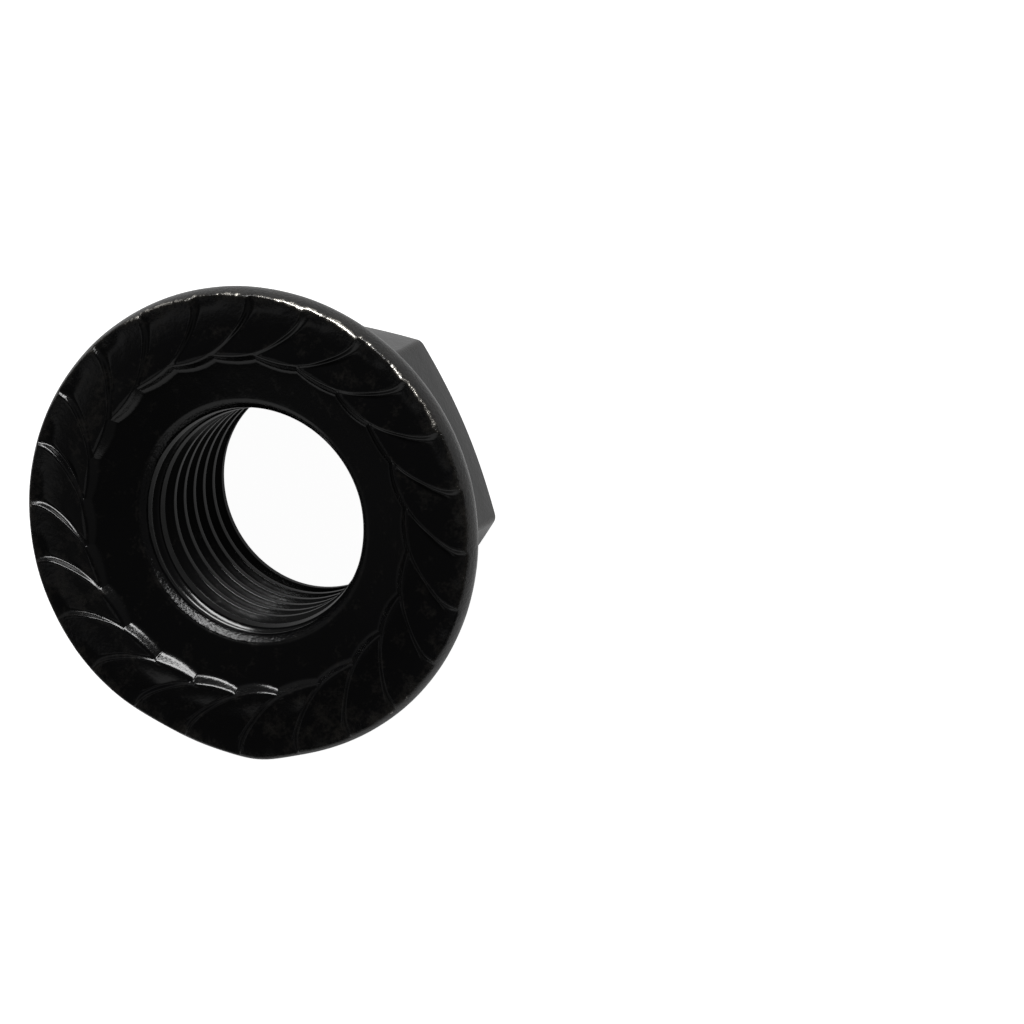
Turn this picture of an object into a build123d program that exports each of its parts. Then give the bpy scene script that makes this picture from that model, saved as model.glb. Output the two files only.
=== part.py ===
from build123d import *
import math
import os

# Serrated flange nut for an M12 fine thread, standing on its hexagon end with the serrated face up
# Sizes are in millimetres, angles in degrees, and the axis of the thread is Z

# Overall sizes
across_flats = 17.0
flange_diameter = 24.0
height = 11.4

# Thread
thread_diameter = 12.0
thread_pitch = 1.25
thread_angle = 60.0
thread_depth_share = 0.625
thread_play = 0.12
lead_in_width = 0.85
lead_in_angle = 45.0
mouth_width = 1.05
mouth_angle = 45.0
mouth_rounding = 0.4

# Hexagon
flat_count = 6
corner_drop = 1.5
end_chamfer_angle = 35.0
end_rounding = 1.2
corner_rounding = 0.3

# Flange
rim_rounding = 1.25
rim_inset = 0.3
crest_above_rim = 0.94
flange_slope = 28.0

# Recess inside the serrations
recess_diameter = 17.7
recess_bevel = 45.0
recess_bow = 0.12
dish_depth = 0.45
dish_slope = 12.0

# Serrations
tooth_count = 24
tooth_phase = 1.5
tooth_sweep = 12.5
tooth_bow = 0.34
tooth_depth = 0.3
tooth_land = 0.1
tooth_draft = 25.0
tooth_corner = 0.35
rim_land = 0.25

# How far a cut runs past the surface that it leaves, and past its own tooth in tooth pitches
overrun = 1.0
bevel_overrun = 0.1
pocket_reach = 1.5

# Sizes worked out from the ones above
corner_radius = across_flats / 2 / math.cos(math.pi / flat_count)
end_face_radius = corner_radius - corner_drop / math.tan(math.radians(end_chamfer_angle))
flange_radius = flange_diameter / 2
rim_height = height - crest_above_rim
rim_center = flange_radius - rim_rounding
crest_radius = flange_radius - rim_inset
pocket_radius = crest_radius - rim_land
slope_start = (
    rim_center + rim_rounding * math.sin(math.radians(flange_slope)),
    rim_height - rim_rounding * math.cos(math.radians(flange_slope)),
)
slope_apex = slope_start[1] - slope_start[0] * math.tan(math.radians(flange_slope))

sharp_thread_depth = thread_pitch / 2 / math.tan(math.radians(thread_angle / 2))
minor_radius = (thread_diameter + thread_play) / 2 - thread_depth_share * sharp_thread_depth
lead_in_radius = minor_radius + lead_in_width
lead_in_depth = lead_in_width / math.tan(math.radians(lead_in_angle))
mouth_radius = minor_radius + mouth_width
mouth_depth = mouth_width / math.tan(math.radians(mouth_angle))

recess_radius = recess_diameter / 2
dish_radius = recess_radius - dish_depth * math.tan(math.radians(recess_bevel))
dish_apex = height - dish_depth - dish_radius * math.tan(math.radians(dish_slope))
lead_in_height = dish_apex + lead_in_radius * math.tan(math.radians(dish_slope))

tooth_pitch = 360 / tooth_count
tooth_inner = tooth_phase
tooth_outer = tooth_phase - tooth_sweep
step_width = tooth_depth * math.tan(math.radians(tooth_draft))
crest_offset = step_width + tooth_land


def at(radius, angle, z=0.0):
    """The point at a radius, an angle and a height about the thread's axis."""
    turn = math.radians(angle)
    return Vector(radius * math.cos(turn), radius * math.sin(turn), z)


# The hexagon, with rounded corners and the chamfered, slightly rounded end
with BuildPart() as hexagon:
    with BuildSketch():
        RegularPolygon(radius=corner_radius, side_count=flat_count)
    extrude(amount=rim_height)
    fillet(hexagon.edges().filter_by(Axis.Z), radius=corner_rounding)
    with BuildSketch(Plane.XZ) as end_outline:
        with BuildLine():
            chamfer_width = corner_radius + overrun - end_face_radius
            chamfer_top = chamfer_width * math.tan(math.radians(end_chamfer_angle))
            Polyline(
                (0, 0),
                (end_face_radius, 0),
                (corner_radius + overrun, chamfer_top),
                (corner_radius + overrun, rim_height),
                (0, rim_height),
                close=True,
            )
        make_face()
        end_corner = end_outline.vertices().filter_by_position(Axis.X, end_face_radius, end_face_radius)
        fillet(end_corner, radius=end_rounding)
    revolve(axis=Axis.Z, mode=Mode.INTERSECT)

# The flange, a shallow cone on the hexagon side that ends in a rounded rim
with BuildPart() as flange:
    with BuildSketch(Plane.XZ):
        with BuildLine():
            slope = Line((0, slope_apex), slope_start)
            lower_rim = TangentArc(slope @ 1, (flange_radius, rim_height), tangent=slope % 1)
            upper_rim = TangentArc(lower_rim @ 1, (crest_radius, height), tangent=(0, 1))
            Polyline(upper_rim @ 1, (0, height), slope @ 0)
        make_face()
    revolve(axis=Axis.Z)

# The recess inside the serrations, a shallow cone with one sloping facet for each tooth
with BuildPart() as recess:
    with BuildSketch(Plane.XY.offset(height - overrun)):
        kink_radius = recess_radius - overrun * math.tan(math.radians(recess_bevel))
        side_radius = kink_radius * math.cos(math.radians(tooth_pitch / 2)) - recess_bow
        with BuildLine():
            for tooth in range(tooth_count):
                kink = tooth_phase + tooth * tooth_pitch
                ThreePointArc(
                    at(kink_radius, kink),
                    at(side_radius, kink + tooth_pitch / 2),
                    at(kink_radius, kink + tooth_pitch),
                )
        make_face()
    extrude(amount=overrun + bevel_overrun, taper=-recess_bevel)
    with BuildSketch(Plane.XZ):
        with BuildLine():
            Polyline(
                (0, dish_apex),
                (flange_radius, dish_apex + flange_radius * math.tan(math.radians(dish_slope))),
                (flange_radius, height + 2 * overrun),
                (0, height + 2 * overrun),
                close=True,
            )
        make_face()
    revolve(axis=Axis.Z, mode=Mode.INTERSECT)

# One serration, the wedge of metal taken out between a tooth's step and the next tooth's crest
crest_start = at(recess_radius, tooth_inner - tooth_pitch, height)
crest_end = at(pocket_radius, tooth_outer - tooth_pitch, height)
crest_chord = (crest_end - crest_start).normalized()
downhill = Vector(0, 0, 1).cross(crest_chord)
step_middle = at((recess_radius + pocket_radius) / 2, (tooth_inner + tooth_outer) / 2, height)
ramp_run = (step_middle - crest_start).dot(downhill) - crest_offset
ramp_angle = math.degrees(math.atan2(tooth_depth, ramp_run))
ramp_plane = Plane(
    origin=crest_start + downhill * crest_offset,
    x_dir=crest_chord,
    z_dir=Vector(0, 0, math.cos(math.radians(ramp_angle))) + downhill * math.sin(math.radians(ramp_angle)),
)


def on_ramp(radius, angle):
    """The point of the ramp plane at a radius and an angle, in the plane's own two directions."""
    point = at(radius, angle, height)
    across = (point - ramp_plane.origin).dot(downhill)
    point -= Vector(0, 0, across * math.tan(math.radians(ramp_angle)))
    local = ramp_plane.to_local_coords(point)
    return (local.X, local.Y)


with BuildPart() as serration:
    with BuildSketch(ramp_plane) as pocket:
        with BuildLine():
            step = SagittaArc(
                on_ramp(recess_radius, tooth_inner),
                on_ramp(pocket_radius, tooth_outer),
                -tooth_bow,
            )
            edge = ThreePointArc(
                step @ 1,
                on_ramp(pocket_radius, tooth_outer - pocket_reach * tooth_pitch / 2),
                on_ramp(pocket_radius, tooth_outer - pocket_reach * tooth_pitch),
            )
            Polyline(
                edge @ 1,
                on_ramp(recess_radius - overrun, tooth_inner - pocket_reach * tooth_pitch),
                on_ramp(recess_radius - overrun, tooth_inner + tooth_pitch / 2),
                step @ 0,
            )
        make_face()
        fillet(pocket.vertices().sort_by_distance(step @ 1)[0], radius=tooth_corner)
    extrude(amount=overrun, taper=-tooth_draft)

# The threaded bore at its minor diameter, with a lead-in at the serrated face and at the hexagon end
with BuildPart() as bore:
    with BuildSketch(Plane.XZ):
        mouth_overrun = overrun * math.tan(math.radians(mouth_angle))
        lead_in_overrun = overrun * math.tan(math.radians(lead_in_angle))
        with BuildLine():
            Polyline(
                (0, -overrun),
                (mouth_radius + mouth_overrun, -overrun),
                (minor_radius, mouth_depth),
                (minor_radius, lead_in_height - lead_in_depth),
                (lead_in_radius + lead_in_overrun, lead_in_height + overrun),
                (0, lead_in_height + overrun),
                close=True,
            )
        make_face()
    revolve(axis=Axis.Z)

# The finished nut
with BuildPart() as nut:
    add(hexagon.part)
    add(flange.part)
    add(recess.part, mode=Mode.SUBTRACT)
    with PolarLocations(0, tooth_count):
        add(serration.part, mode=Mode.SUBTRACT)
    add(bore.part, mode=Mode.SUBTRACT)
    mouth_edge = nut.edges().filter_by(GeomType.CIRCLE).group_by(Axis.Z)[0].sort_by(SortBy.RADIUS)[0]
    fillet(mouth_edge, radius=mouth_rounding)

nut.part.label = "serrated_flange_nut"
os.makedirs("parts", exist_ok=True)
export_step(nut.part, "parts/serrated_flange_nut.step")
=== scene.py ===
"""Serrated flange nut in black coated steel, with worn edges and a cut metric fine thread.

The nut stands on its hexagon end with the serrated face up, and its thread runs along Z.
Lengths are in metres and angles in degrees, unless a name says otherwise.
"""

import logging
import math
import random
from abc import ABC, abstractmethod
from dataclasses import dataclass, field
from enum import Enum
from typing import ClassVar

import bmesh
import bpy
from mathutils import Matrix, Vector, noise


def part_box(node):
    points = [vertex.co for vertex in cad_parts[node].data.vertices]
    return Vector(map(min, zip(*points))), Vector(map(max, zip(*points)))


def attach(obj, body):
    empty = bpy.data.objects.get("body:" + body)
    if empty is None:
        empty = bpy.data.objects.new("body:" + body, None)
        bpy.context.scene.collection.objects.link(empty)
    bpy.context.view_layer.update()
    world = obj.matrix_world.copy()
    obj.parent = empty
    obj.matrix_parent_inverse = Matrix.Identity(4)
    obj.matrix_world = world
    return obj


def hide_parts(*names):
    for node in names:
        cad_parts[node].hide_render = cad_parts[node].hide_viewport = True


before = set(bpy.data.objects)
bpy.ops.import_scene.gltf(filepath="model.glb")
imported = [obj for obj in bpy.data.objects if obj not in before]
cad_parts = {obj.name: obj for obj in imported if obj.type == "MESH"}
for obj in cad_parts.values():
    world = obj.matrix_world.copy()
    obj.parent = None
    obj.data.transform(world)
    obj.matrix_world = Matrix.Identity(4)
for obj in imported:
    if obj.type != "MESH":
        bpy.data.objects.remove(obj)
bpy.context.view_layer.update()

log = logging.getLogger("flange_nut")

MM = 0.001
NODE = "serrated_flange_nut"
# Vertex attribute of wear; on the serrated face it also carries painted sheen and painted glints.
WEAR_AND_SHEEN = "wear"
GRIT = "grit"
ROW = "row"
MERGE_DISTANCE = 1e-7
SLOPE_STEP = 0.01 * MM
WHITE = (1.0, 1.0, 1.0, 1.0)
Colour = tuple[float, float, float, float]
Socket = bpy.types.NodeSocket


def soft_min(first: float, second: float, width: float) -> float:
    """Return the lower of two heights, blended where they differ by less than a width."""
    near = max(width - abs(first - second), 0.0) / width
    return min(first, second) - near * near * width / 4


def soft_max(first: float, second: float, width: float) -> float:
    """Return the higher of two heights, blended as soft_min does."""
    return -soft_min(-first, -second, width)


def smooth_step(value: float) -> float:
    """Return 0 below 0, 1 above 1 and a smooth rise in between."""
    share = min(max(value, 0.0), 1.0)
    return share * share * (3 - 2 * share)


def bell(value: float, width: float) -> float:
    """Return 1 at a value of 0, falling off smoothly over a width."""
    return math.exp(-((value / width) ** 2))


def gather(share: float, slope: float, power: float) -> float:
    """Return a share from -1 to 1 drawn towards 0, where a slope is left of the even spacing."""
    size = abs(share)
    return math.copysign(slope * size + (1 - slope) * size**power, share)


def gather_to_end(share: float) -> float:
    """Return an even share from 0 to 1 drawn towards 1."""
    return 1 - (1 - share) ** 2


def shares(steps: int) -> list[float]:
    """Return the even shares of a stretch at the end of each of its steps."""
    return [step / steps for step in range(1, steps + 1)]


def turned(radius: float, azimuth: float, z: float) -> Vector:
    """Return the point at a radius, an azimuth in degrees and a height."""
    turn = math.radians(azimuth)
    return Vector((radius * math.cos(turn), radius * math.sin(turn), z))


def link(name: str, data: bpy.types.ID) -> bpy.types.Object:
    """Make an object of some data and link it to the scene."""
    made = bpy.data.objects.new(name, data)
    bpy.context.scene.collection.objects.link(made)
    return made


@dataclass(frozen=True)
class Patch:
    """Something that shows most round one azimuth, and fades off on both sides."""

    azimuth: float
    width: float
    amount: float

    def at(self, azimuth: float) -> float:
        """Return how much of it there is at an azimuth."""
        away = (azimuth - self.azimuth + 180) % 360 - 180
        return self.amount * bell(away, self.width)


@dataclass(frozen=True)
class Stop:
    """A radius that the rows of a mesh come to, and the number of rows on the way to it."""

    radius: float
    rows: int


@dataclass(frozen=True)
class SkinPoint:
    """A point of the nut's skin, and how worn and how gritty it is from 0 to 1, the wear on the serrated
    face also carrying painted sheen and glints.
    """

    radius: float
    azimuth: float
    z: float
    wear: float = 0.0
    grit: float = 0.0


@dataclass(frozen=True)
class Corner:
    """A corner of an outline, with its rounding, the steps along it and the wear at its middle."""

    radius: float
    z: float
    rounding: float = 0.0
    steps: int = 1
    wear: float = 0.0
    run: int = 1


def rounded_outline(corners: list[Corner]) -> list[tuple[float, float, float]]:
    """Walk an outline and round its corners.

    Args:
        corners: The outline's corners, where run is the steps on the straight before a corner.

    Returns:
        Radius, height and wear of each point, as many for any corners with the same steps.
    """
    spots = [Vector((corner.radius, corner.z)) for corner in corners]
    points = [(corners[0].radius, corners[0].z, 0.0)]
    last = spots[0]
    for index in range(1, len(corners)):
        corner, spot = corners[index], spots[index]
        if corner.rounding == 0.0:
            start, arc = spot, []
        else:
            before = (spots[index - 1] - spot).normalized()
            after = (spots[index + 1] - spot).normalized()
            half = before.angle(after) / 2
            reach = corner.rounding / math.tan(half)
            start = spot + before * reach
            middle = spot + (before + after).normalized() * (corner.rounding / math.sin(half))
            arm = start - middle
            side = math.copysign(1.0, before.x * after.y - before.y * after.x)
            arc = []
            for share in shares(corner.steps):
                spoke = Matrix.Rotation(-side * share * (math.pi - 2 * half), 2) @ arm
                arc.append((middle + spoke, corner.wear * math.sin(math.pi * share)))
        for share in shares(corner.run):
            spot_on_run = last.lerp(start, share)
            points.append((spot_on_run.x, spot_on_run.y, 0.0))
        points.extend((place.x, place.y, wear) for place, wear in arc)
        last = arc[-1][0] if arc else start
    return points


@dataclass(frozen=True)
class Winding:
    """A stretch of a spin, with its turn in degrees, its rise, its steps and the number of stretches."""

    turn: float
    rise: float
    steps: int
    stretches: int


def wind(mesh: bmesh.types.BMesh, chain: list[bmesh.types.BMVert], winding: Winding) -> None:
    """Spin a chain of vertices round the axis for one stretch, and repeat the stretch.

    Args:
        mesh: A bmesh that holds the chain and nothing else.
        chain: The vertices, each joined to the next.
        winding: How far to spin, and how often to repeat it.
    """
    bmesh.ops.spin(
        mesh,
        geom=chain + [mesh.edges.new(pair) for pair in zip(chain, chain[1:])],
        cent=(0, 0, 0),
        axis=(0, 0, 1),
        dvec=(0, 0, winding.rise / winding.steps),
        angle=math.radians(winding.turn),
        steps=winding.steps,
        use_merge=False,
        use_duplicate=False,
    )
    first = mesh.verts[:] + mesh.edges[:] + mesh.faces[:]
    for stretch in range(1, winding.stretches):
        copied = bmesh.ops.duplicate(mesh, geom=first)["geom"]
        moved = [item for item in copied if isinstance(item, bmesh.types.BMVert)]
        turn = Matrix.Rotation(math.radians(winding.turn * stretch), 3, "Z")
        bmesh.ops.rotate(mesh, cent=(0, 0, 0), matrix=turn, verts=moved)
        bmesh.ops.translate(mesh, verts=moved, vec=(0, 0, winding.rise * stretch))
    bmesh.ops.remove_doubles(mesh, verts=mesh.verts[:], dist=MERGE_DISTANCE)


@dataclass
class Hexagon:
    """The wrench hexagon and its chamfered end."""

    across_flats: float = 17.0 * MM
    corner_rounding: float = 0.42 * MM
    corner_drop: float = 1.5 * MM
    chamfer_angle: float = 35.0
    end_rounding: float = 1.2 * MM
    chamfer_rounding: float = 0.18 * MM
    foot_rounding: float = 0.4 * MM
    mouth_rounding: float = 0.4 * MM
    mouth_wear: float = 0.3
    end_wear: float = 0.15
    chamfer_wear: float = 0.6
    corner_wear: float = 0.62
    worn_width: float = 0.3 * MM
    flats: int = 6

    @property
    def half(self) -> float:
        """Angle from the middle of a flat to its corner, in degrees."""
        return 180 / self.flats

    @property
    def sharp_radius(self) -> float:
        """Radius of the corners before they are rounded."""
        return self.across_flats / 2 / math.cos(math.radians(self.half))

    @property
    def end_radius(self) -> float:
        """Radius at which the end face turns into the chamfer."""
        return self.sharp_radius - self.corner_drop / math.tan(math.radians(self.chamfer_angle))

    def from_corner(self, azimuth: float) -> float:
        """Return the signed angle from the nearest corner, in degrees."""
        return (azimuth + self.half) % (2 * self.half) - self.half

    def reach(self, azimuth: float) -> float:
        """Return the hexagon's radius at an azimuth, with its corners rounded.

        Args:
            azimuth: Azimuth of the place, in degrees.

        Returns:
            The radius there.
        """
        angle = math.radians(abs(self.from_corner(azimuth)))
        half = math.radians(self.half)
        flat = self.across_flats / 2 / math.cos(half - angle)
        centre = self.sharp_radius - self.corner_rounding / math.cos(half)
        inside = self.corner_rounding**2 - (centre * math.sin(angle)) ** 2
        if inside <= 0:
            return flat
        round_reach = centre * math.cos(angle) + math.sqrt(inside)
        aside = self.corner_rounding * math.sin(half)
        outward = self.corner_rounding * math.cos(half)
        tangent = math.atan2(aside, centre + outward)
        return round_reach if angle < tangent else flat

    def corner_wear_at(self, azimuth: float) -> float:
        """Return how worn the hexagon is at an azimuth, most at its corners."""
        away = math.radians(self.from_corner(azimuth)) * self.sharp_radius
        return self.corner_wear * bell(away, self.worn_width)


@dataclass
class Flange:
    """The round flange: its rounded rim and the shallow cone under it."""

    radius: float
    height: float
    crest_above_rim: float = 0.94 * MM
    lower_rounding: float = 1.25 * MM
    crest_inset: float = 0.3 * MM
    slope: float = 28.0
    lower_steps: int = 12
    upper_steps: int = 9
    dents: tuple[Patch, ...] = (Patch(218.0, 7.0, 0.16 * MM), Patch(192.0, 13.0, -0.2 * MM))
    dent_start: float = 9.0 * MM
    uneven: float = 0.035 * MM
    uneven_scale: float = 0.35 / MM

    @property
    def rim_height(self) -> float:
        """Height of the rim's widest point."""
        return self.height - self.crest_above_rim

    @property
    def upper_rounding(self) -> float:
        """Radius of the arc from the widest point up to the crest."""
        return (self.crest_inset**2 + self.crest_above_rim**2) / (2 * self.crest_inset)

    @property
    def slope_start(self) -> tuple[float, float]:
        """Radius and height where the cone meets the lower arc of the rim."""
        turn = math.radians(self.slope)
        centre = self.radius - self.lower_rounding
        return (
            centre + self.lower_rounding * math.sin(turn),
            self.rim_height - self.lower_rounding * math.cos(turn),
        )

    def under_height(self, radius: float) -> float:
        """Return the height of the cone under the flange at a radius."""
        start_radius, start_height = self.slope_start
        return start_height + (radius - start_radius) * math.tan(math.radians(self.slope))

    def rim_top(self, radius: float) -> float:
        """Return the height of the rim's upper arc at a radius."""
        out = max(radius - self.radius + self.upper_rounding, 0.0)
        return self.rim_height + math.sqrt(max(self.upper_rounding**2 - out**2, 0.0))

    def lower_arc(self) -> list[tuple[float, float]]:
        """Return radius and height of points from the cone to the widest point.

        Returns:
            The points, one at the end of each step.
        """
        centre = self.radius - self.lower_rounding
        first = self.slope - 90
        points = []
        for share in shares(self.lower_steps):
            turn = math.radians(first * (1 - share))
            reach = self.lower_rounding * math.cos(turn)
            points.append((centre + reach, self.rim_height + self.lower_rounding * math.sin(turn)))
        return points

    def bulge(self, radius: float, azimuth: float) -> float:
        """Return how far the forging stands out from a true circle at a place near the rim.

        Args:
            radius: Radius of the place.
            azimuth: Azimuth of the place, in degrees.

        Returns:
            The distance, outwards where it is above 0.
        """
        share = smooth_step((radius - self.dent_start) / (self.radius - self.dent_start))
        outward = sum(dent.at(azimuth) for dent in self.dents)
        spot = turned(self.uneven_scale * self.radius, azimuth, 0.0)
        outward += self.uneven * (noise.noise(spot) - 1.0) / 2
        return share * outward


@dataclass
class Serrations:
    """The 24 curved ramp teeth of the bearing face."""

    count: int = 24
    outer_azimuth: float = 4.0
    sweep: float = 12.5
    inner_radius: float = 8.82 * MM
    outer_radius: float = 11.4 * MM
    main_share: float = 0.87
    main_power: float = 1.95
    hook_power: float = 14.0
    depth: float = 0.3 * MM
    land: float = 0.6
    wall: float = 0.25 * MM
    rim_wall: float = 1.0 * MM
    corner: float = 0.45 * MM
    rim_share: float = 0.5
    inner_share: float = 0.5
    inner_fade: float = 1.2 * MM
    depth_spread: float = 0.18
    azimuth_spread: float = 0.35
    gathered: float = 0.22
    gather_power: float = 2.4
    worn_width: float = 0.07 * MM
    crest_wear: float = 0.2
    worn_ramp_share: float = 0.5
    seed: int = 24
    depths: list[float] = field(default_factory=list)
    shifts: list[float] = field(default_factory=list)

    def __post_init__(self) -> None:
        """Draw each tooth's small differences once."""
        draw = random.Random(self.seed)
        for _ in range(self.count):
            self.depths.append(self.depth * (1 + draw.uniform(-self.depth_spread, self.depth_spread)))
            self.shifts.append(draw.uniform(-self.azimuth_spread, self.azimuth_spread))

    @property
    def pitch(self) -> float:
        """Angle from one tooth to the next, in degrees."""
        return 360 / self.count

    def line(self, radius: float) -> float:
        """Return how far a tooth's step has swept round at a radius, in degrees."""
        share = (self.outer_radius - radius) / (self.outer_radius - self.inner_radius)
        share = min(max(share, 0.0), 1.0)
        main = self.main_share * share**self.main_power
        return self.sweep * (main + (1 - self.main_share) * share**self.hook_power)

    def slant(self, radius: float) -> float:
        """Return the cosine between the step at a radius and the radial direction."""
        swept = math.radians(self.line(radius) - self.line(radius + SLOPE_STEP)) * radius
        return SLOPE_STEP / math.hypot(SLOPE_STEP, swept)

    def tooth(self, column_share: float) -> tuple[int, float]:
        """Return the nearest tooth of a place round the nut, and the signed share from it."""
        index = round(column_share * self.count)
        return index % self.count, 2 * (column_share * self.count - index)

    def facet(self, column_share: float) -> int:
        """Return the number of the gap between two teeth at a place round the nut."""
        index, away = self.tooth(column_share)
        return index if away >= 0 else (index - 1) % self.count

    def azimuth(self, column_share: float, radius: float, gathering: float) -> float:
        """Return the azimuth of a column of the mesh, which follows the steps.

        Args:
            column_share: Place round the nut, from 0 to 1.
            radius: Radius at which the column is looked at.
            gathering: How much of the gathering towards the steps to use, from 0 to 1.

        Returns:
            The azimuth in degrees.
        """
        index, away = self.tooth(column_share)
        drawn = gather(away, self.gathered, self.gather_power)
        offset = (away + gathering * (drawn - away)) * self.pitch / 2
        middle = round(column_share * self.count) * self.pitch
        shift = self.shifts[index] * (1 - abs(away)) * gathering
        return middle + self.outer_azimuth + self.line(radius) + offset + shift

    def relief(self, column_share: float, radius: float) -> tuple[float, float]:
        """Return how deep the face is cut at a place, and how worn it is there.

        Args:
            column_share: Place round the nut, from 0 to 1.
            radius: Radius of the place.

        Returns:
            The depth below the crests, and the wear from 0 to 1.
        """
        index, away = self.tooth(column_share)
        drawn = gather(away, self.gathered, self.gather_power) * self.pitch / 2
        slant = self.slant(radius)
        step_away = -math.radians(drawn) * radius * slant + self.wall / 2
        along = -drawn if step_away > 0 else self.pitch - drawn
        depth = self.depths[index if step_away > 0 else (index + 1) % self.count]
        ramp = depth * max(1 - along / (self.pitch - self.land), 0.0)
        inner = smooth_step((radius - self.inner_radius) / self.inner_fade)
        ramp *= self.inner_share + (1 - self.inner_share) * inner
        if step_away <= 0:
            return ramp, self.crest_wear * bell(step_away, self.worn_width)
        out_away = (self.outer_radius + self.rim_wall / 2 - radius) * self.wall / self.rim_wall
        short_out = max(self.corner - out_away, 0.0)
        short_step = max(self.corner - step_away, 0.0)
        if short_out > 0 and short_step > 0:
            inside = self.corner - math.hypot(short_out, short_step)
        else:
            inside = min(out_away, step_away)
        wall = smooth_step(inside / self.wall)
        step = smooth_step(step_away / self.wall)
        relief = ramp * (self.rim_share * step + (1 - self.rim_share) * wall)
        deep_enough = smooth_step(ramp / depth / self.worn_ramp_share)
        worn = self.crest_wear * bell(inside, self.worn_width) * deep_enough
        return relief, worn


@dataclass
class Recess:
    """The dished recess inside the serrations, with a bowed facet for each tooth."""

    height: float
    serrations: Serrations
    radius: float = 8.85 * MM
    bow: float = 0.12 * MM
    bevel: float = 48.5
    flatter_facet: int = 11
    flatter_bevel: float = 44.0
    dish_depth: float = 0.45 * MM
    dish_slope: float = 12.0
    edge_width: float = 0.1 * MM
    foot_width: float = 0.13 * MM
    edge_wear: float = 0.15
    edge_grit: float = 0.7
    edge_worn_width: float = 0.05 * MM
    bow_spread: float = 0.05 * MM
    seed: int = 7
    bows: list[float] = field(default_factory=list)

    def __post_init__(self) -> None:
        """Draw each facet's small difference once."""
        draw = random.Random(self.seed)
        for _ in range(self.serrations.count):
            self.bows.append(self.bow + draw.uniform(-self.bow_spread, self.bow_spread))

    @property
    def dish_apex(self) -> float:
        """Height at which the dish's cone would meet the axis."""
        foot = self.radius - self.dish_depth / math.tan(math.radians(self.bevel))
        return self.height - self.dish_depth - foot * math.tan(math.radians(self.dish_slope))

    def dish(self, radius: float) -> float:
        """Return the dish's height at a radius."""
        return self.dish_apex + radius * math.tan(math.radians(self.dish_slope))

    def edge(self, column_share: float) -> float:
        """Return the radius of the recess's edge at a place round the nut.

        Args:
            column_share: Place round the nut, from 0 to 1.

        Returns:
            The edge's radius there.
        """
        teeth = self.serrations
        drawn = gather(teeth.tooth(column_share)[1], teeth.gathered, teeth.gather_power)
        half = math.radians(teeth.pitch / 2)
        from_middle = 1 - abs(drawn)
        chord = self.radius * math.cos(half) / math.cos(half * from_middle)
        return chord - self.bows[teeth.facet(column_share)] * (1 - from_middle**2)

    def bevel_height(self, radius: float, column_share: float) -> float:
        """Return the height of the recess's bevel at a place."""
        is_flatter = self.serrations.facet(column_share) == self.flatter_facet
        angle = self.flatter_bevel if is_flatter else self.bevel
        return self.height - (self.edge(column_share) - radius) * math.tan(math.radians(angle))


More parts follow.
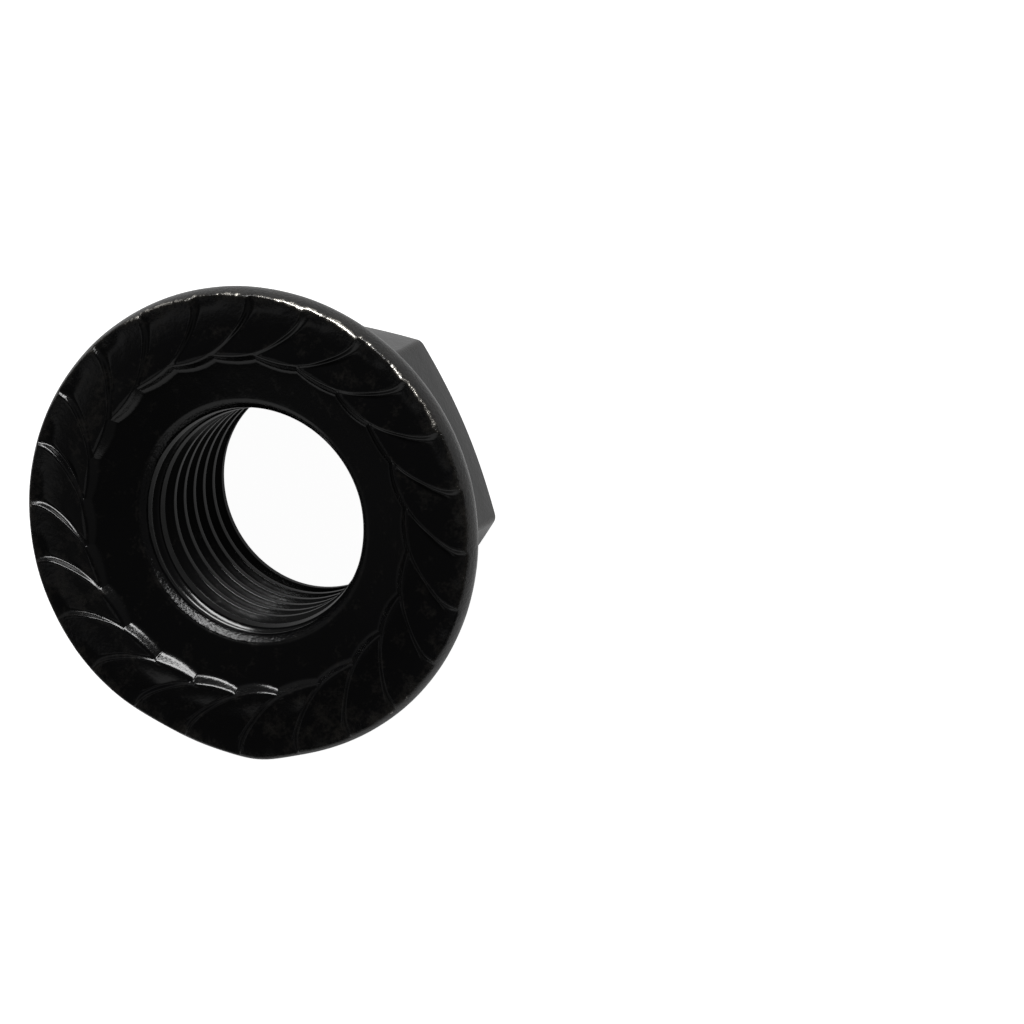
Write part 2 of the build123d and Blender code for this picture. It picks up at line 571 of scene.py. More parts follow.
@dataclass
class Thread:
    """The right-handed metric fine thread, with its two lead-in cones."""

    diameter: float = 12.0 * MM
    pitch: float = 1.25 * MM
    play: float = 0.12 * MM
    flank_angle: float = 60.0
    depth_share: float = 0.625
    root_share: float = 0.125
    lead_in_radius: float = 6.233 * MM
    mouth_radius: float = 6.433 * MM
    lead_in_rise: float = 0.94
    taper_depth: float = 2.5 * MM
    taper_slope: float = 0.2
    joint_radius: float = 6.04 * MM
    joint_gap: float = 0.06 * MM
    columns: int = 160
    crest_rounding: float = 0.03 * MM
    phase: float = 165.0
    phase_height: float = 6.36 * MM
    overlap: float = 1.5
    cone_width: float = 0.05 * MM
    flank_steps: int = 4
    crest_steps: int = 5
    root_steps: int = 3
    root_crown: float = 0.03
    gritty_depth: float = 0.45 * MM
    lead_in_grit: float = 3.4

    @property
    def skin_radius(self) -> float:
        """Radius on the lead-in cones where the rest of the nut's skin begins."""
        return self.joint_radius + self.joint_gap

    @property
    def minor_radius(self) -> float:
        """Radius of the thread's crests."""
        sharp = self.pitch / 2 / math.tan(math.radians(self.flank_angle / 2))
        return (self.diameter + self.play) / 2 - self.depth_share * sharp

    @property
    def major_radius(self) -> float:
        """Radius of the thread's roots."""
        return self.diameter / 2

    @property
    def flank_width(self) -> float:
        """Length of a flank along the axis."""
        return (self.major_radius - self.minor_radius) * math.tan(math.radians(self.flank_angle / 2))

    @property
    def crest_half(self) -> float:
        """Half the length of the crest's flat along the axis."""
        return (self.pitch * (1 - self.root_share)) / 2 - self.flank_width

    def profile(self) -> list[tuple[float, float]]:
        """Return place along the axis and radius of one pitch, from crest to crest.

        Returns:
            The profile's points, the same both ways from the root's middle.
        """
        crest, flank = self.crest_half, self.flank_width
        depth = self.major_radius - self.minor_radius
        half = []
        for step in range(self.crest_steps):
            share = step / self.crest_steps
            half.append((crest * gather_to_end(share), self.minor_radius + self.crest_rounding * share**4))
        for step in range(self.flank_steps):
            share = step / self.flank_steps
            deep = self.crest_rounding if step == 0 else depth * share
            half.append((crest + flank * share, self.minor_radius + deep))
        root = self.pitch / 2 - crest - flank
        for step in range(self.root_steps + 1):
            share = step / self.root_steps
            deep = depth * (1 - self.root_crown * (1 - share))
            half.append((crest + flank + root * share, self.minor_radius + deep))
        return half + [(self.pitch - along, radius) for along, radius in reversed(half[:-1])]

    def lead_in(self, z: float, lead_in_height: float) -> float:
        """Return the radius at a height of the two lead-in cones and the taper under the upper one."""
        top = self.lead_in_radius - (lead_in_height - z) / self.lead_in_rise
        bottom = self.mouth_radius - z
        taper = self.minor_radius + (z - lead_in_height + self.taper_depth) * self.taper_slope
        return max(top, bottom, taper)

    def build(self, mesh: bmesh.types.BMesh, lead_in_height: float) -> None:
        """Cut the thread into an empty bmesh as a strip wound round the axis.

        Args:
            mesh: The bmesh that gets the thread, with a layer for the grit.
            lead_in_height: Height of the edge of the upper lead-in.
        """
        grit = mesh.verts.layers.float[GRIT]
        low = self.mouth_radius - self.joint_radius
        high = lead_in_height - (self.lead_in_radius - self.joint_radius) * self.lead_in_rise
        turns = math.ceil((high - low) / self.pitch + self.overlap)
        first_turn = math.floor((self.phase_height - low) / self.pitch + self.overlap)
        start = self.phase_height - first_turn * self.pitch
        chain = []
        for along, radius in self.profile():
            chain.append(mesh.verts.new(turned(radius, self.phase, start + along)))
        wind(mesh, chain, Winding(360.0, self.pitch, self.columns, turns))
        for vert in mesh.verts:
            radius = math.hypot(vert.co.x, vert.co.y)
            clear = soft_max(radius, self.lead_in(vert.co.z, lead_in_height), self.cone_width)
            vert.co.x *= clear / radius
            vert.co.y *= clear / radius
            above = vert.co.z - lead_in_height + self.gritty_depth
            vert[grit] = self.lead_in_grit * smooth_step(2 * above / self.gritty_depth)
        for height, keep in ((low, -1), (high, 1)):
            bmesh.ops.bisect_plane(
                mesh,
                geom=mesh.verts[:] + mesh.edges[:] + mesh.faces[:],
                plane_co=(0, 0, height),
                plane_no=(0, 0, keep),
                dist=MERGE_DISTANCE,
                clear_outer=True,
                clear_inner=False,
            )


@dataclass(frozen=True)
class Levels:
    """The heights of the surfaces that meet at one place of the serrated face."""

    top: float
    rim: float
    bevel: float
    hollow: float
    lead: float


@dataclass
class FlangeNut:
    """The whole nut as one skin: hexagon, flange, serrations, recess and thread."""

    low: Vector
    high: Vector
    columns: int = 480
    corner_gathered: float = 0.2
    corner_power: float = 2.2
    hexagon: Hexagon = field(default_factory=Hexagon)
    thread: Thread = field(default_factory=Thread)
    serrations: Serrations = field(default_factory=Serrations)
    rim_edge_width: float = 0.16 * MM
    rim_worn_width: float = 0.23 * MM
    rim_rub: float = 0.38
    rim_grit: float = 3.0
    side_grit: float = 0.8
    face_grit: float = 0.4
    lead_in_wear: float = 0.15
    lead_in_worn_width: float = 0.05 * MM
    lead_in_fade: float = 0.1 * MM
    bevel_fade: float = 0.1
    face_wear: float = 0.06
    # Painted sheen: a lighter, duller band on the ramps just inside the rim's crest, put in as wear.
    rub_and_sheen: float = 0.32
    rim_sheen_width: float = 0.6 * MM
    # Painted highlight: the rim's edge wears most towards the soft box, so its speckles there are partly
    # real wear and partly painted glints.
    rim_wear_and_glint_patch: Patch = Patch(15.0, 50.0, 0.6)
    rim_noise: float = 0.5
    rim_noise_scale: float = 2.6
    # Painted reflection: lighter, duller patches on the ramps round these azimuths, put in as wear.
    sheen_patches: tuple[Patch, ...] = (
        Patch(150.0, 30.0, 0.25),
        Patch(92.0, 26.0, 0.22),
        Patch(236.0, 26.0, 0.26),
    )
    arc_share: float = 0.86
    rim_stops: tuple[Stop, ...] = (Stop(11.6 * MM, 8), Stop(11.3 * MM, 9), Stop(9.4 * MM, 16))
    edge_stops: tuple[Stop, ...] = (Stop(0.12 * MM, 7), Stop(-0.2 * MM, 9), Stop(-0.62 * MM, 11))
    dish_stop: Stop = Stop(7.9 * MM, 3)
    lead_in_stops: tuple[Stop, ...] = (Stop(0.12 * MM, 6), Stop(-0.08 * MM, 7))
    follow_inset: float = 0.22 * MM
    follow_width: float = 0.75 * MM
    follow_flat: float = 0.5
    gather_reach: float = 1.4

    def __post_init__(self) -> None:
        """Take the flange's size from the frame's box."""
        self.flange = Flange(radius=(self.high.x - self.low.x) / 2, height=self.high.z)
        self.recess = Recess(height=self.high.z, serrations=self.serrations)

    @property
    def lead_in_height(self) -> float:
        """Height of the edge between the dish and the thread's lead-in."""
        return self.recess.dish(self.thread.lead_in_radius)

    def corner_azimuth(self, column_share: float) -> float:
        """Return a column's azimuth on the hexagon, where columns gather at the corners."""
        half = self.hexagon.half
        azimuth = column_share * 360
        away = self.hexagon.from_corner(azimuth)
        return azimuth - away + half * gather(away / half, self.corner_gathered, self.corner_power)

    def side(self, column_share: float) -> list[SkinPoint]:
        """Return the points from the thread's mouth round the end and up to the rim's widest point.

        Args:
            column_share: Place round the nut, from 0 to 1.

        Returns:
            The points of one column, as many for each column.
        """
        hexagon, flange, thread = self.hexagon, self.flange, self.thread
        azimuth = self.corner_azimuth(column_share)
        reach = hexagon.reach(azimuth)
        start_radius, start_height = flange.slope_start
        corner_worn = hexagon.corner_wear_at(azimuth)
        chamfer_top = (reach - hexagon.end_radius) * math.tan(math.radians(hexagon.chamfer_angle))
        foot = flange.under_height(reach)
        end_radius = hexagon.end_radius
        flat_width = hexagon.across_flats / 2 - end_radius
        outline = rounded_outline(
            [
                Corner(thread.skin_radius, thread.mouth_radius - thread.skin_radius),
                Corner(thread.mouth_radius, 0.0, hexagon.mouth_rounding, 5, hexagon.mouth_wear, run=2),
                Corner(end_radius, 0.0, hexagon.end_rounding, 6, hexagon.end_wear, run=3),
                Corner(reach, chamfer_top, hexagon.chamfer_rounding, 5, hexagon.chamfer_wear, run=4),
                Corner(reach, foot, hexagon.foot_rounding, 6, run=6),
                Corner(start_radius, start_height, run=6),
            ]
        )
        points = []
        for radius, z, worn in outline:
            on_side = smooth_step((radius - end_radius) / flat_width)
            on_flange = smooth_step((radius - reach) / (start_radius - reach))
            edge_worn = corner_worn * on_side * (1 - smooth_step((radius - reach) / hexagon.foot_rounding))
            place = azimuth + on_flange * self.serrations.outer_azimuth
            points.append(SkinPoint(radius, place, z, max(worn, edge_worn), self.side_grit))
        for share, (radius, z) in zip(shares(flange.lower_steps), flange.lower_arc()):
            toothed = self.serrations.azimuth(column_share, flange.radius, 1.0)
            plain = azimuth + self.serrations.outer_azimuth
            place = plain + (toothed - plain) * smooth_step(share)
            grit = self.side_grit + (self.rim_grit - self.side_grit) * share
            points.append(SkinPoint(radius, place, z, self.rim_rub * share, grit))
        return points

    def rim_wear_and_glint(self, azimuth: float) -> float:
        """Return how worn the rim's edge is at an azimuth, most on the soft box's side, where the extra
        wear paints a highlight.
        """
        patchy = noise.noise(turned(self.rim_noise_scale, azimuth, 0.0))
        return 1.0 - self.rim_noise + self.rim_wear_and_glint_patch.at(azimuth) + self.rim_noise * patchy

    def face_rows(self) -> list[float]:
        """Return the radii of the rows on the serrated face, from the rim inwards.

        Returns:
            The radii.
        """
        flange, recess, thread = self.flange, self.recess, self.thread
        centre = flange.radius - flange.upper_rounding
        reach = math.asin(flange.crest_above_rim / flange.upper_rounding) * self.arc_share
        rows = []
        for share in shares(flange.upper_steps):
            rows.append(centre + flange.upper_rounding * math.cos(reach * share))
        stops = list(self.rim_stops)
        stops.extend(Stop(recess.radius + stop.radius, stop.rows) for stop in self.edge_stops)
        stops.append(self.dish_stop)
        stops.extend(Stop(thread.lead_in_radius + stop.radius, stop.rows) for stop in self.lead_in_stops)
        stops.append(Stop(thread.skin_radius, 1))
        for stop in stops:
            outer = rows[-1]
            for share in shares(stop.rows):
                rows.append(outer + (stop.radius - outer) * share)
        return rows

    def levels(self, column_share: float, radius: float, relief: float) -> Levels:
        """Return the heights of the surfaces at a place, where the serrations are cut by a relief."""
        recess, thread = self.recess, self.thread
        bevel = recess.bevel_height(radius, column_share)
        return Levels(
            top=self.flange.height - relief,
            rim=self.flange.rim_top(radius),
            bevel=bevel,
            hollow=soft_max(bevel, recess.dish(radius), recess.foot_width),
            lead=self.lead_in_height - (thread.lead_in_radius - radius) * thread.lead_in_rise,
        )

    def face_wear_and_sheen_at(self, at: Levels, radius: float, azimuth: float, crest_worn: float) -> float:
        """Return how worn the serrated face is at a place, with painted sheen and painted glints added in.

        Args:
            at: The heights of the surfaces there.
            radius: Radius of the place.
            azimuth: Azimuth of the place, in degrees.
            crest_worn: How worn the serrations are there.

        Returns:
            The wear with its painted sheen and glints, from 0 to 1 and a little more.
        """
        recess = self.recess
        on_ramps = smooth_step((radius - recess.radius) / self.rim_worn_width)
        # Painted sheen: a lighter band near the rim's crest and lighter patches round the nut, put into
        # the wear.
        rim_sheen = self.rub_and_sheen * bell(self.flange.radius - self.flange.crest_inset - radius, self.rim_sheen_width)
        patch_sheen = max(patch.at(azimuth) for patch in self.sheen_patches)
        face = soft_min(soft_min(at.top, at.rim, self.rim_edge_width), at.hollow, recess.edge_width)
        return max(
            0.0 if at.bevel < at.top - recess.edge_width else crest_worn,
            # Rim's edge: real wear, with painted glints on the soft box's side.
            self.rim_wear_and_glint(azimuth) * bell(at.top - at.rim, self.rim_worn_width),
            recess.edge_wear * bell(at.top - at.bevel, recess.edge_worn_width),
            self.lead_in_wear * bell(face - at.lead, self.lead_in_worn_width),
            self.rim_rub * smooth_step((at.top - at.rim) / self.rim_worn_width),
            on_ramps * max(self.face_wear, patch_sheen, rim_sheen),
        )

    def face_grit_at(self, at: Levels) -> float:
        """Return how gritty the serrated face is at a place, from the heights of its surfaces.

        Args:
            at: The heights of the surfaces there.

        Returns:
            The grit, 1 or less where the face is nearly smooth.
        """
        recess = self.recess
        from_middle = abs(at.top - at.hollow - recess.dish_depth / 2) / recess.dish_depth
        on_bevel = 1 - smooth_step(from_middle - self.bevel_fade)
        return max(
            self.face_grit,
            self.rim_grit * bell(at.top - at.rim, 2 * self.rim_worn_width),
            self.rim_grit * smooth_step((at.top - at.rim) / self.rim_worn_width),
            recess.edge_grit * on_bevel if at.hollow < at.top else 0.0,
            self.thread.lead_in_grit * smooth_step((at.hollow - at.lead) / self.lead_in_fade),
        )

    def face(self, column_share: float, rows: list[float]) -> list[SkinPoint]:
        """Return the points of one column across the serrated face.

        Args:
            column_share: Place round the nut, from 0 to 1.
            rows: Radii of the rows, before they follow the recess's facets.

        Returns:
            The column's points, from the rim inwards.
        """
        recess, thread, teeth = self.recess, self.thread, self.serrations
        edge = recess.edge(column_share)
        points = []
        for row in rows:
            off_edge = abs(row - (recess.radius - self.follow_inset)) / self.follow_width
            radius = row + (edge - recess.radius) * (1 - smooth_step(off_edge - self.follow_flat))
            inwards = (row - thread.joint_radius) / (recess.radius - thread.joint_radius)
            azimuth = teeth.azimuth(column_share, radius, smooth_step(inwards * self.gather_reach))
            relief, crest_worn = teeth.relief(column_share, radius)
            at = self.levels(column_share, radius, relief)
            z = soft_min(at.top, at.rim, self.rim_edge_width)
            z = soft_min(z, at.hollow, recess.edge_width)
            z = soft_min(z, at.lead, recess.edge_width)
            # This wear also carries the painted sheen and painted glints.
            worn = self.face_wear_and_sheen_at(at, radius, azimuth, crest_worn)
            points.append(SkinPoint(radius, azimuth, z, worn, self.face_grit_at(at)))
        return points

    def build_skin(self) -> bmesh.types.BMesh:
        """Build all of the nut but its thread, as a chain spun round and then set to its true place.

        Returns:
            The skin, open at both ends of the thread.
        """
        mesh = bmesh.new()
        wear = mesh.verts.layers.float.new(WEAR_AND_SHEEN)
        grit = mesh.verts.layers.float.new(GRIT)
        row_of = mesh.verts.layers.int.new(ROW)
        rows = self.face_rows()
        columns = []
        for column in range(self.columns):
            share = column / self.columns
            columns.append(self.side(share) + self.face(share, rows))
        chain = []
        for index, point in enumerate(columns[0]):
            vert = mesh.verts.new((point.radius, 0.0, point.z))
            vert[row_of] = index
            chain.append(vert)
        teeth = self.serrations.count
        wind(mesh, chain, Winding(360 / teeth, 0.0, self.columns // teeth, teeth))
        for vert in mesh.verts:
            turn = math.atan2(vert.co.y, vert.co.x) / (2 * math.pi)
            point = columns[round(turn * self.columns) % self.columns][vert[row_of]]
            radius = point.radius + self.flange.bulge(point.radius, point.azimuth)
            vert.co = turned(radius, point.azimuth, point.z)
            vert[wear] = point.wear
            vert[grit] = point.grit
        mesh.verts.layers.int.remove(row_of)
        return mesh

    def build(self) -> bpy.types.Object:
        """Build the nut's mesh and link it to the scene.

        Returns:
            The nut's object, at the origin.
        """
        mesh = self.build_skin()
        cut = bmesh.new()
        cut.verts.layers.float.new(WEAR_AND_SHEEN)
        cut.verts.layers.float.new(GRIT)
        self.thread.build(cut, self.lead_in_height)
        data = bpy.data.meshes.new("flange_nut")
        cut.to_mesh(data)
        cut.free()
        mesh.from_mesh(data)
        rims = [edge for edge in mesh.edges if edge.is_boundary]
        for is_low in (True, False):
            ring = [edge for edge in rims if (edge.verts[0].co.z < self.high.z / 2) == is_low]
            bmesh.ops.triangle_fill(mesh, use_beauty=True, edges=ring, normal=(0, 0, 1))
        bmesh.ops.remove_doubles(mesh, verts=mesh.verts[:], dist=MERGE_DISTANCE)
        bmesh.ops.recalc_face_normals(mesh, faces=mesh.faces[:])
        mesh.to_mesh(data)
        mesh.free()
        data.polygons.foreach_set("use_smooth", [True] * len(data.polygons))
        return link("flange_nut", data)

    def dress(self, nut: bpy.types.Object, finish: "BlackCoating") -> None:
        """Give the nut its finish."""
        nut.data.materials.append(finish.material())


class Nodes:
    """A shader tree that is filled node by node."""

    def __init__(self, tree: bpy.types.NodeTree) -> None:
        """Keep the tree."""
        self.tree = tree

    @classmethod
    def of(cls, owner: bpy.types.Material | bpy.types.World) -> "Nodes":
        """Empty the tree of a material or a world, to be filled anew.

        Args:
            owner: The material or the world.

        Returns:
            Its empty tree.
        """
        owner.use_nodes = True
        owner.node_tree.nodes.clear()
        return cls(owner.node_tree)

    def add(self, kind: str, values: dict | None = None, **settings: object) -> bpy.types.Node:
        """Add a node.

        Args:
            kind: The node's type, without its ShaderNode prefix.
            values: Input sockets, by name or number, with their values or the outputs that feed them.
            settings: The node's own properties.

        Returns:
            The new node.
        """
        node = self.tree.nodes.new(kind if kind.startswith("Node") else "ShaderNode" + kind)
        for name, value in settings.items():
            setattr(node, name, value)
        for name, value in (values or {}).items():
            if isinstance(value, Socket):
                self.tree.links.new(value, node.inputs[name])
            else:
                node.inputs[name].default_value = value
        return node

    def calculate(self, operation: str, *numbers: object) -> Socket:
        """Calculate with numbers, each a value or an output."""
        return self.add("Math", dict(enumerate(numbers)), operation=operation).outputs[0]

    def noise(self, scale: Socket, detail: float, roughness: float = 0.5) -> Socket:
        """Make a noise from 0 to 1 in the object's own coordinates."""
        place = self.add("TexCoord").outputs["Object"]
        values = {"Vector": place, "Scale": scale, "Detail": detail, "Roughness": roughness}
        return self.add("TexNoise", values).outputs["Fac"]

    def ramp(self, value: Socket, low: float, high: float) -> Socket:
        """Return a value as a share from 0 at a low one to 1 at a high one."""
        values = {"Value": value, "From Min": low, "From Max": high}
        return self.add("MapRange", values, clamp=True).outputs[0]

    def mix_colour(self, share: Socket, first: object, second: object) -> Socket:
        """Mix two colours, each a value or an output, by a share."""
        return self.add("Mix", {0: share, 6: first, 7: second}, data_type="RGBA").outputs[2]

    def mix_value(self, share: Socket, first: object, second: object) -> Socket:
        """Mix two numbers, each a value or an output, by a share."""
        return self.add("Mix", {0: share, 2: first, 3: second}, data_type="FLOAT").outputs[0]


class Effect(Enum):
    """The shared effects, each a node group of that name."""

    # The edge wear group also turns the painted sheen and glints carried in the wear into coating colour.
    EDGE_WEAR_AND_SHEEN = "edge_wear"
    ORANGE_PEEL = "orange_peel"


class SharedEffect(ABC):
    """An effect whose node group is built once, for all the materials that use it."""

    effect: ClassVar[Effect]
    inputs: ClassVar[tuple[str, ...]]
    outputs: ClassVar[tuple[str, ...]]

    @abstractmethod
    def fill(self, nodes: Nodes, enter: dict[str, Socket]) -> dict[str, Socket]:
        """Fill the group's nodes, and return what leaves it for what enters it."""

    def group(self) -> bpy.types.NodeTree:
        """Build the effect's node group, or find it.

        Returns:
            The group, with its named inputs and outputs.
        """
        group = bpy.data.node_groups.get(self.effect.value)
        if group:
            return group
        group = bpy.data.node_groups.new(self.effect.value, "ShaderNodeTree")
        for name in self.inputs:
            group.interface.new_socket(name, in_out="INPUT", socket_type="NodeSocketFloat")
        for name in self.outputs:
            group.interface.new_socket(name, in_out="OUTPUT", socket_type="NodeSocketFloat")
        nodes = Nodes(group)
        nodes.add("NodeGroupOutput", self.fill(nodes, nodes.add("NodeGroupInput").outputs))
        return group


@dataclass(frozen=True)
class EdgeWearAndSheen(SharedEffect):
    """The pattern that turns the wear of a mesh into a dulled lighter film and speckles of worn-through
    steel, the wear also carrying painted sheen and glints.
    """

    effect: ClassVar[Effect] = Effect.EDGE_WEAR_AND_SHEEN
    inputs: ClassVar[tuple[str, ...]] = ("WearAndSheen", "Scale", "Amount")
    outputs: ClassVar[tuple[str, ...]] = ("RubbedAndSheen", "BareAndGlint")
    fine_share: float = 0.55
    fine_detail: float = 4.0
    fine_roughness: float = 0.6
    slow_share: float = 0.65
    slow_scale: float = 0.2
    slow_detail: float = 2.0
    rubbed_from: float = 0.68
    rubbed_to: float = 1.0
    bare_from: float = 1.0
    bare_to: float = 1.07

    def fill(self, nodes: Nodes, enter: dict[str, Socket]) -> dict[str, Socket]:
        """Add the wear, with its painted sheen and glints, to two noises, and read the dulled film and the
        worn-through steel off the sum.

        Args:
            nodes: The group's nodes.
            enter: What enters the group, by name.

        Returns:
            What leaves the group, by name.
        """
        fine = nodes.noise(enter["Scale"], self.fine_detail, self.fine_roughness)
        slow_scale = nodes.calculate("MULTIPLY", enter["Scale"], self.slow_scale)
        slow = nodes.noise(slow_scale, self.slow_detail)
        part = nodes.calculate("MULTIPLY", fine, self.fine_share)
        grain = nodes.calculate("MULTIPLY_ADD", slow, self.slow_share, part)
        score = nodes.calculate("MULTIPLY_ADD", enter["WearAndSheen"], enter["Amount"], grain)
        rubbed_and_sheen = nodes.ramp(score, self.rubbed_from, self.rubbed_to)
        return {"RubbedAndSheen": rubbed_and_sheen, "BareAndGlint": nodes.ramp(score, self.bare_from, self.bare_to)}


@dataclass(frozen=True)
class OrangePeel(SharedEffect):
    """The slightly uneven surface of a dipped coating, and the grit caught in it."""

    effect: ClassVar[Effect] = Effect.ORANGE_PEEL
    inputs: ClassVar[tuple[str, ...]] = ("Scale", "Grit")
    outputs: ClassVar[tuple[str, ...]] = ("Height",)
    coarse_detail: float = 2.0
    fine_scale: float = 4.5
    fine_detail: float = 3.0
    fine_roughness: float = 0.6

    def fill(self, nodes: Nodes, enter: dict[str, Socket]) -> dict[str, Socket]:
        """Add the grit to the coating's coarse unevenness.

        Args:
            nodes: The group's nodes.
            enter: What enters the group, by name.

        Returns:
            What leaves the group, by name.
        """
        coarse = nodes.noise(enter["Scale"], self.coarse_detail)
        fine_scale = nodes.calculate("MULTIPLY", enter["Scale"], self.fine_scale)
        fine = nodes.noise(fine_scale, self.fine_detail, self.fine_roughness)
        return {"Height": nodes.calculate("MULTIPLY_ADD", fine, enter["Grit"], coarse)}


@dataclass(frozen=True)
class BlackCoating:
    """A thin glossy black coating over steel, dulled by rubbing and worn through in speckles at the edges,
    its lighter dulled colour also painted sheen and its rim speckles also painted glints.
    """

    name: str = "black_coating"
    colour: Colour = (0.0026, 0.0026, 0.0028, 1.0)
    # Lighter dulled colour, used for real rubbing and for painted sheen.
    rubbed_and_sheen: Colour = (0.014, 0.0125, 0.0108, 1.0)
    # Worn-through steel, which on the rim also stands for painted glints.
    bare_and_glint: Colour = (0.5, 0.48, 0.44, 1.0)
    roughness: float = 0.17
    rubbed_roughness: float = 0.36
    bare_roughness: float = 0.26
    peel_scale: float = 1400.0
    peel_depth: float = 0.012 * MM
    wear_scale: float = 5600.0
    wear_and_sheen_amount: float = 0.43

    def material(self) -> bpy.types.Material:
        """Build the coating's material.

        Returns:
            The material, with the nut's wear, painted sheen and glints, and its grit read from its
            vertices.
        """
        material = bpy.data.materials.new(self.name)
        nodes = Nodes.of(material)
        wear = nodes.add("Attribute", attribute_name=WEAR_AND_SHEEN)
        grit = nodes.add("Attribute", attribute_name=GRIT)
        wear_values = {"WearAndSheen": wear.outputs["Fac"], "Scale": self.wear_scale, "Amount": self.wear_and_sheen_amount}
        worn = nodes.add("Group", wear_values, node_tree=EdgeWearAndSheen().group())
        peel_values = {"Scale": self.peel_scale, "Grit": grit.outputs["Fac"]}
        peel = nodes.add("Group", peel_values, node_tree=OrangePeel().group())
        # The dulled share is real rubbing and painted sheen; the worn-through share is real wear and
        # painted glints on the rim.
        rub_and_sheen, bare_and_glint = worn.outputs["RubbedAndSheen"], worn.outputs["BareAndGlint"]
        coated = nodes.mix_colour(rub_and_sheen, self.colour, self.rubbed_and_sheen)
        colour = nodes.mix_colour(bare_and_glint, coated, self.bare_and_glint)
        coated_rough = nodes.mix_value(rub_and_sheen, self.roughness, self.rubbed_roughness)
        rough = nodes.mix_value(bare_and_glint, coated_rough, self.bare_roughness)
        bump_values = {"Height": peel.outputs["Height"], "Distance": self.peel_depth, "Strength": 1.0}
        bump = nodes.add("Bump", bump_values)
        shader = nodes.add(
            "BsdfPrincipled",
            {"Base Color": colour, "Metallic": bare_and_glint, "Roughness": rough, "Normal": bump.outputs[0]},
        )
        nodes.add("OutputMaterial", {"Surface": shader.outputs[0]})
        return material


@dataclass(frozen=True)
class Lamp:
    """A soft rectangular lamp that points at the nut."""

    name: str
    azimuth: float
    elevation: float
    distance: float
    width: float
    height: float
    watts: float

    def build(self, aim: Vector) -> None:
        """Hang the lamp and point it.

        Args:
            aim: The point that it shines at.
        """
        data = bpy.data.lights.new(self.name, "AREA")
        data.shape = "RECTANGLE"
        data.size = self.width
        data.size_y = self.height
        data.energy = self.watts
        lamp = link(self.name, data)
        level = self.distance * math.cos(math.radians(self.elevation))
        rise = self.distance * math.sin(math.radians(self.elevation))
        lamp.location = aim + turned(level, self.azimuth, rise)
        lamp.rotation_euler = (aim - lamp.location).to_track_quat("-Z", "Y").to_euler()


@dataclass(frozen=True)
class SoftWall:
    """A dim pale wall of the studio, seen in the coating as a soft round patch of the surroundings."""

    azimuth: float
    elevation: float
    inner: float
    outer: float
    strength: float

    def glow(self, nodes: Nodes, direction: Socket) -> Socket:
        """Return the wall's brightness in a direction.

        Args:
            nodes: The tree of the surroundings.
            direction: The direction looked in.

        Returns:
            The brightness, full inside the inner angle and none outside the outer one.
        """
        lift = math.radians(self.elevation)
        towards = turned(math.cos(lift), self.azimuth, math.sin(lift))
        near = nodes.add("VectorMath", {0: direction, 1: towards}, operation="DOT_PRODUCT")
        fade = nodes.add(
            "MapRange",
            {
                "Value": near.outputs["Value"],
                "From Min": math.cos(math.radians(self.outer)),
                "From Max": math.cos(math.radians(self.inner)),
                "To Max": self.strength,
            },
            interpolation_type="SMOOTHSTEP",
        )
        return fade.outputs[0]


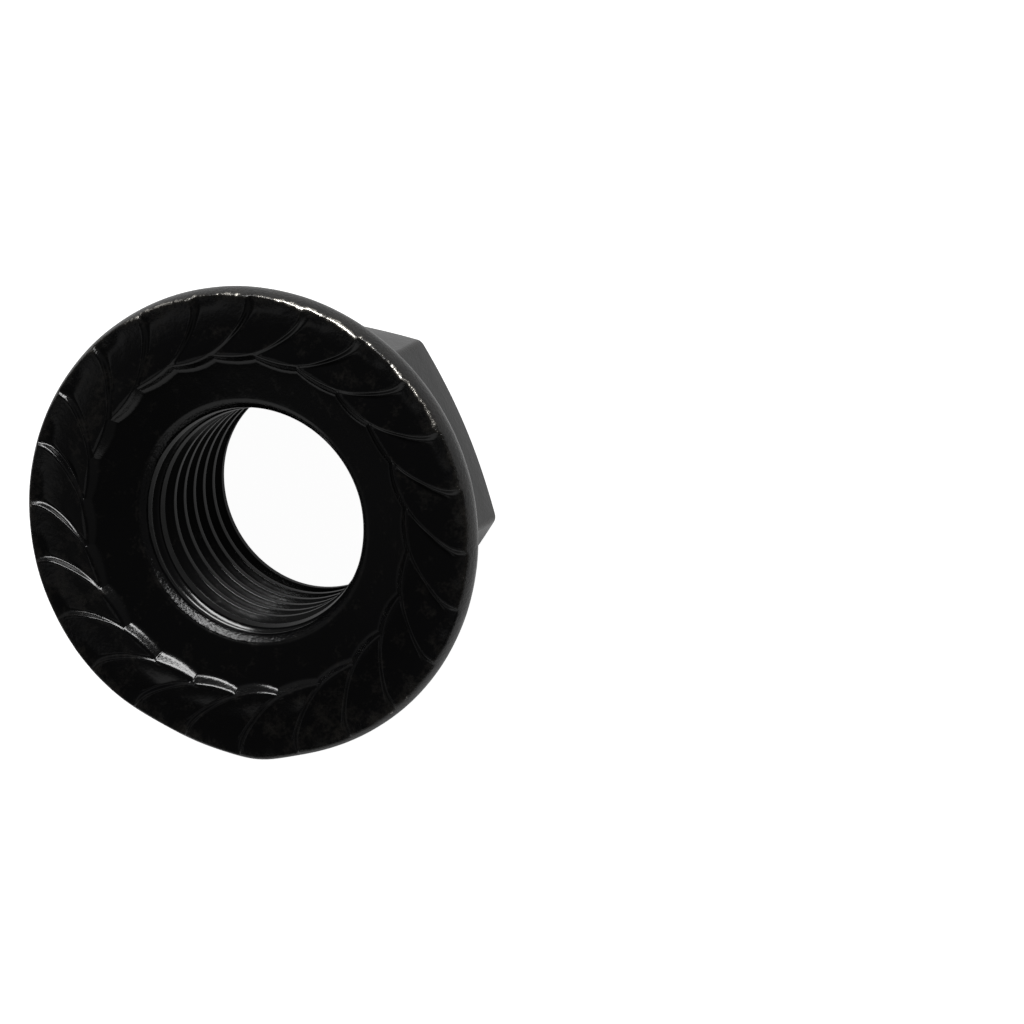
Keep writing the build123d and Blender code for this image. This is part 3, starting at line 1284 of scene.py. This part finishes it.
@dataclass
class Studio:
    """The pale floor, the soft lamps, the surroundings and the camera."""

    floor_half: float = 0.6
    floor_colour: Colour = (0.7, 0.7, 0.7, 1.0)
    floor_seen: float = 0.97
    floor_mirrored: float = 0.19
    low_surround: float = 0.075
    high_surround: float = 0.022
    low_edge: float = 25.0
    high_edge: float = 55.0
    walls: tuple[SoftWall, ...] = (
        SoftWall(azimuth=-152.0, elevation=6.0, inner=37.0, outer=44.0, strength=0.33),
        SoftWall(azimuth=88.0, elevation=14.0, inner=10.0, outer=30.0, strength=0.06),
        SoftWall(azimuth=158.0, elevation=57.0, inner=3.0, outer=11.0, strength=0.23),
    )
    aim: tuple[float, float, float] = (5.0904 * MM, -8.7215 * MM, 0.0)
    distance: float = 279.646 * MM
    azimuth: float = 70.586
    elevation: float = 66.321
    roll: float = -122.546
    lens: float = 192.694
    sensor: float = 36.0
    clip_start: float = 0.01
    clip_end: float = 10.0
    lamp_aim: tuple[float, float, float] = (0.0, 0.0, 6.0 * MM)
    soft_box: Lamp = Lamp(
        name="soft_box",
        azimuth=31.0,
        elevation=32.0,
        distance=0.32,
        width=0.26,
        height=0.075,
        watts=0.95,
    )

    def build(self) -> None:
        """Build all of the studio."""
        self.build_floor()
        self.build_surround()
        self.soft_box.build(Vector(self.lamp_aim))
        self.build_camera()

    def build_floor(self) -> None:
        """Lay the floor, which the camera sees as white with the nut's shadow on it."""
        mesh = bmesh.new()
        bmesh.ops.create_grid(mesh, x_segments=1, y_segments=1, size=self.floor_half)
        data = bpy.data.meshes.new("floor")
        mesh.to_mesh(data)
        mesh.free()
        floor = link("floor", data)
        material = bpy.data.materials.new("pale_floor")
        nodes = Nodes.of(material)
        path = nodes.add("LightPath")
        mirrored = nodes.calculate("MULTIPLY", path.outputs["Is Glossy Ray"], self.floor_mirrored)
        glow = nodes.calculate("MULTIPLY_ADD", path.outputs["Is Camera Ray"], self.floor_seen, mirrored)
        shader = nodes.add(
            "BsdfPrincipled",
            {
                "Base Color": self.floor_colour,
                "Roughness": 1.0,
                "Specular IOR Level": 0.0,
                "Emission Color": WHITE,
                "Emission Strength": glow,
            },
        )
        nodes.add("OutputMaterial", {"Surface": shader.outputs[0]})
        data.materials.append(material)

    def build_surround(self) -> None:
        """Set the surroundings, dim for the nut and white for the camera."""
        world = bpy.data.worlds.new("surround")
        bpy.context.scene.world = world
        nodes = Nodes.of(world)
        direction = nodes.add("TexCoord").outputs["Generated"]
        up = nodes.add("SeparateXYZ", {0: direction}).outputs["Z"]
        glow = nodes.add(
            "MapRange",
            {
                "Value": up,
                "From Min": math.sin(math.radians(self.low_edge)),
                "From Max": math.sin(math.radians(self.high_edge)),
                "To Min": self.low_surround,
                "To Max": self.high_surround,
            },
        ).outputs[0]
        for wall in self.walls:
            glow = nodes.calculate("ADD", glow, wall.glow(nodes, direction))
        seen = nodes.add("LightPath").outputs["Is Camera Ray"]
        strength = nodes.mix_value(seen, glow, 1.0)
        shader = nodes.add("Background", {"Color": WHITE, "Strength": strength})
        nodes.add("OutputWorld", {"Surface": shader.outputs[0]})

    def build_camera(self) -> None:
        """Place the camera where the nut's serrated face leans towards its lower left."""
        data = bpy.data.cameras.new("camera")
        data.lens = self.lens
        data.sensor_width = self.sensor
        data.clip_start = self.clip_start
        data.clip_end = self.clip_end
        camera = link("camera", data)
        turn = math.radians(self.azimuth)
        lift = math.radians(self.elevation)
        back = Vector((math.sin(turn) * math.cos(lift), -math.cos(turn) * math.cos(lift), math.sin(lift)))
        level = back.to_track_quat("Z", "Y").to_matrix().to_4x4()
        roll = Matrix.Rotation(math.radians(self.roll), 4, "Z")
        camera.matrix_world = Matrix.Translation(Vector(self.aim) + back * self.distance) @ level @ roll
        bpy.context.scene.camera = camera


def main() -> None:
    """Build the nut and the studio, and report each piece."""
    logging.basicConfig(level=logging.INFO, format="%(name)s: %(message)s")
    low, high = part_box(NODE)
    nut = FlangeNut(low, high)
    piece = nut.build()
    nut.dress(piece, BlackCoating())
    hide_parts(NODE)
    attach(piece, "root")
    log.info("%s: %d faces", piece.name, len(piece.data.polygons))
    Studio().build()
    bpy.context.scene.view_settings.view_transform = "Standard"
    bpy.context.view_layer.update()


if __name__ == "__main__":
    main()
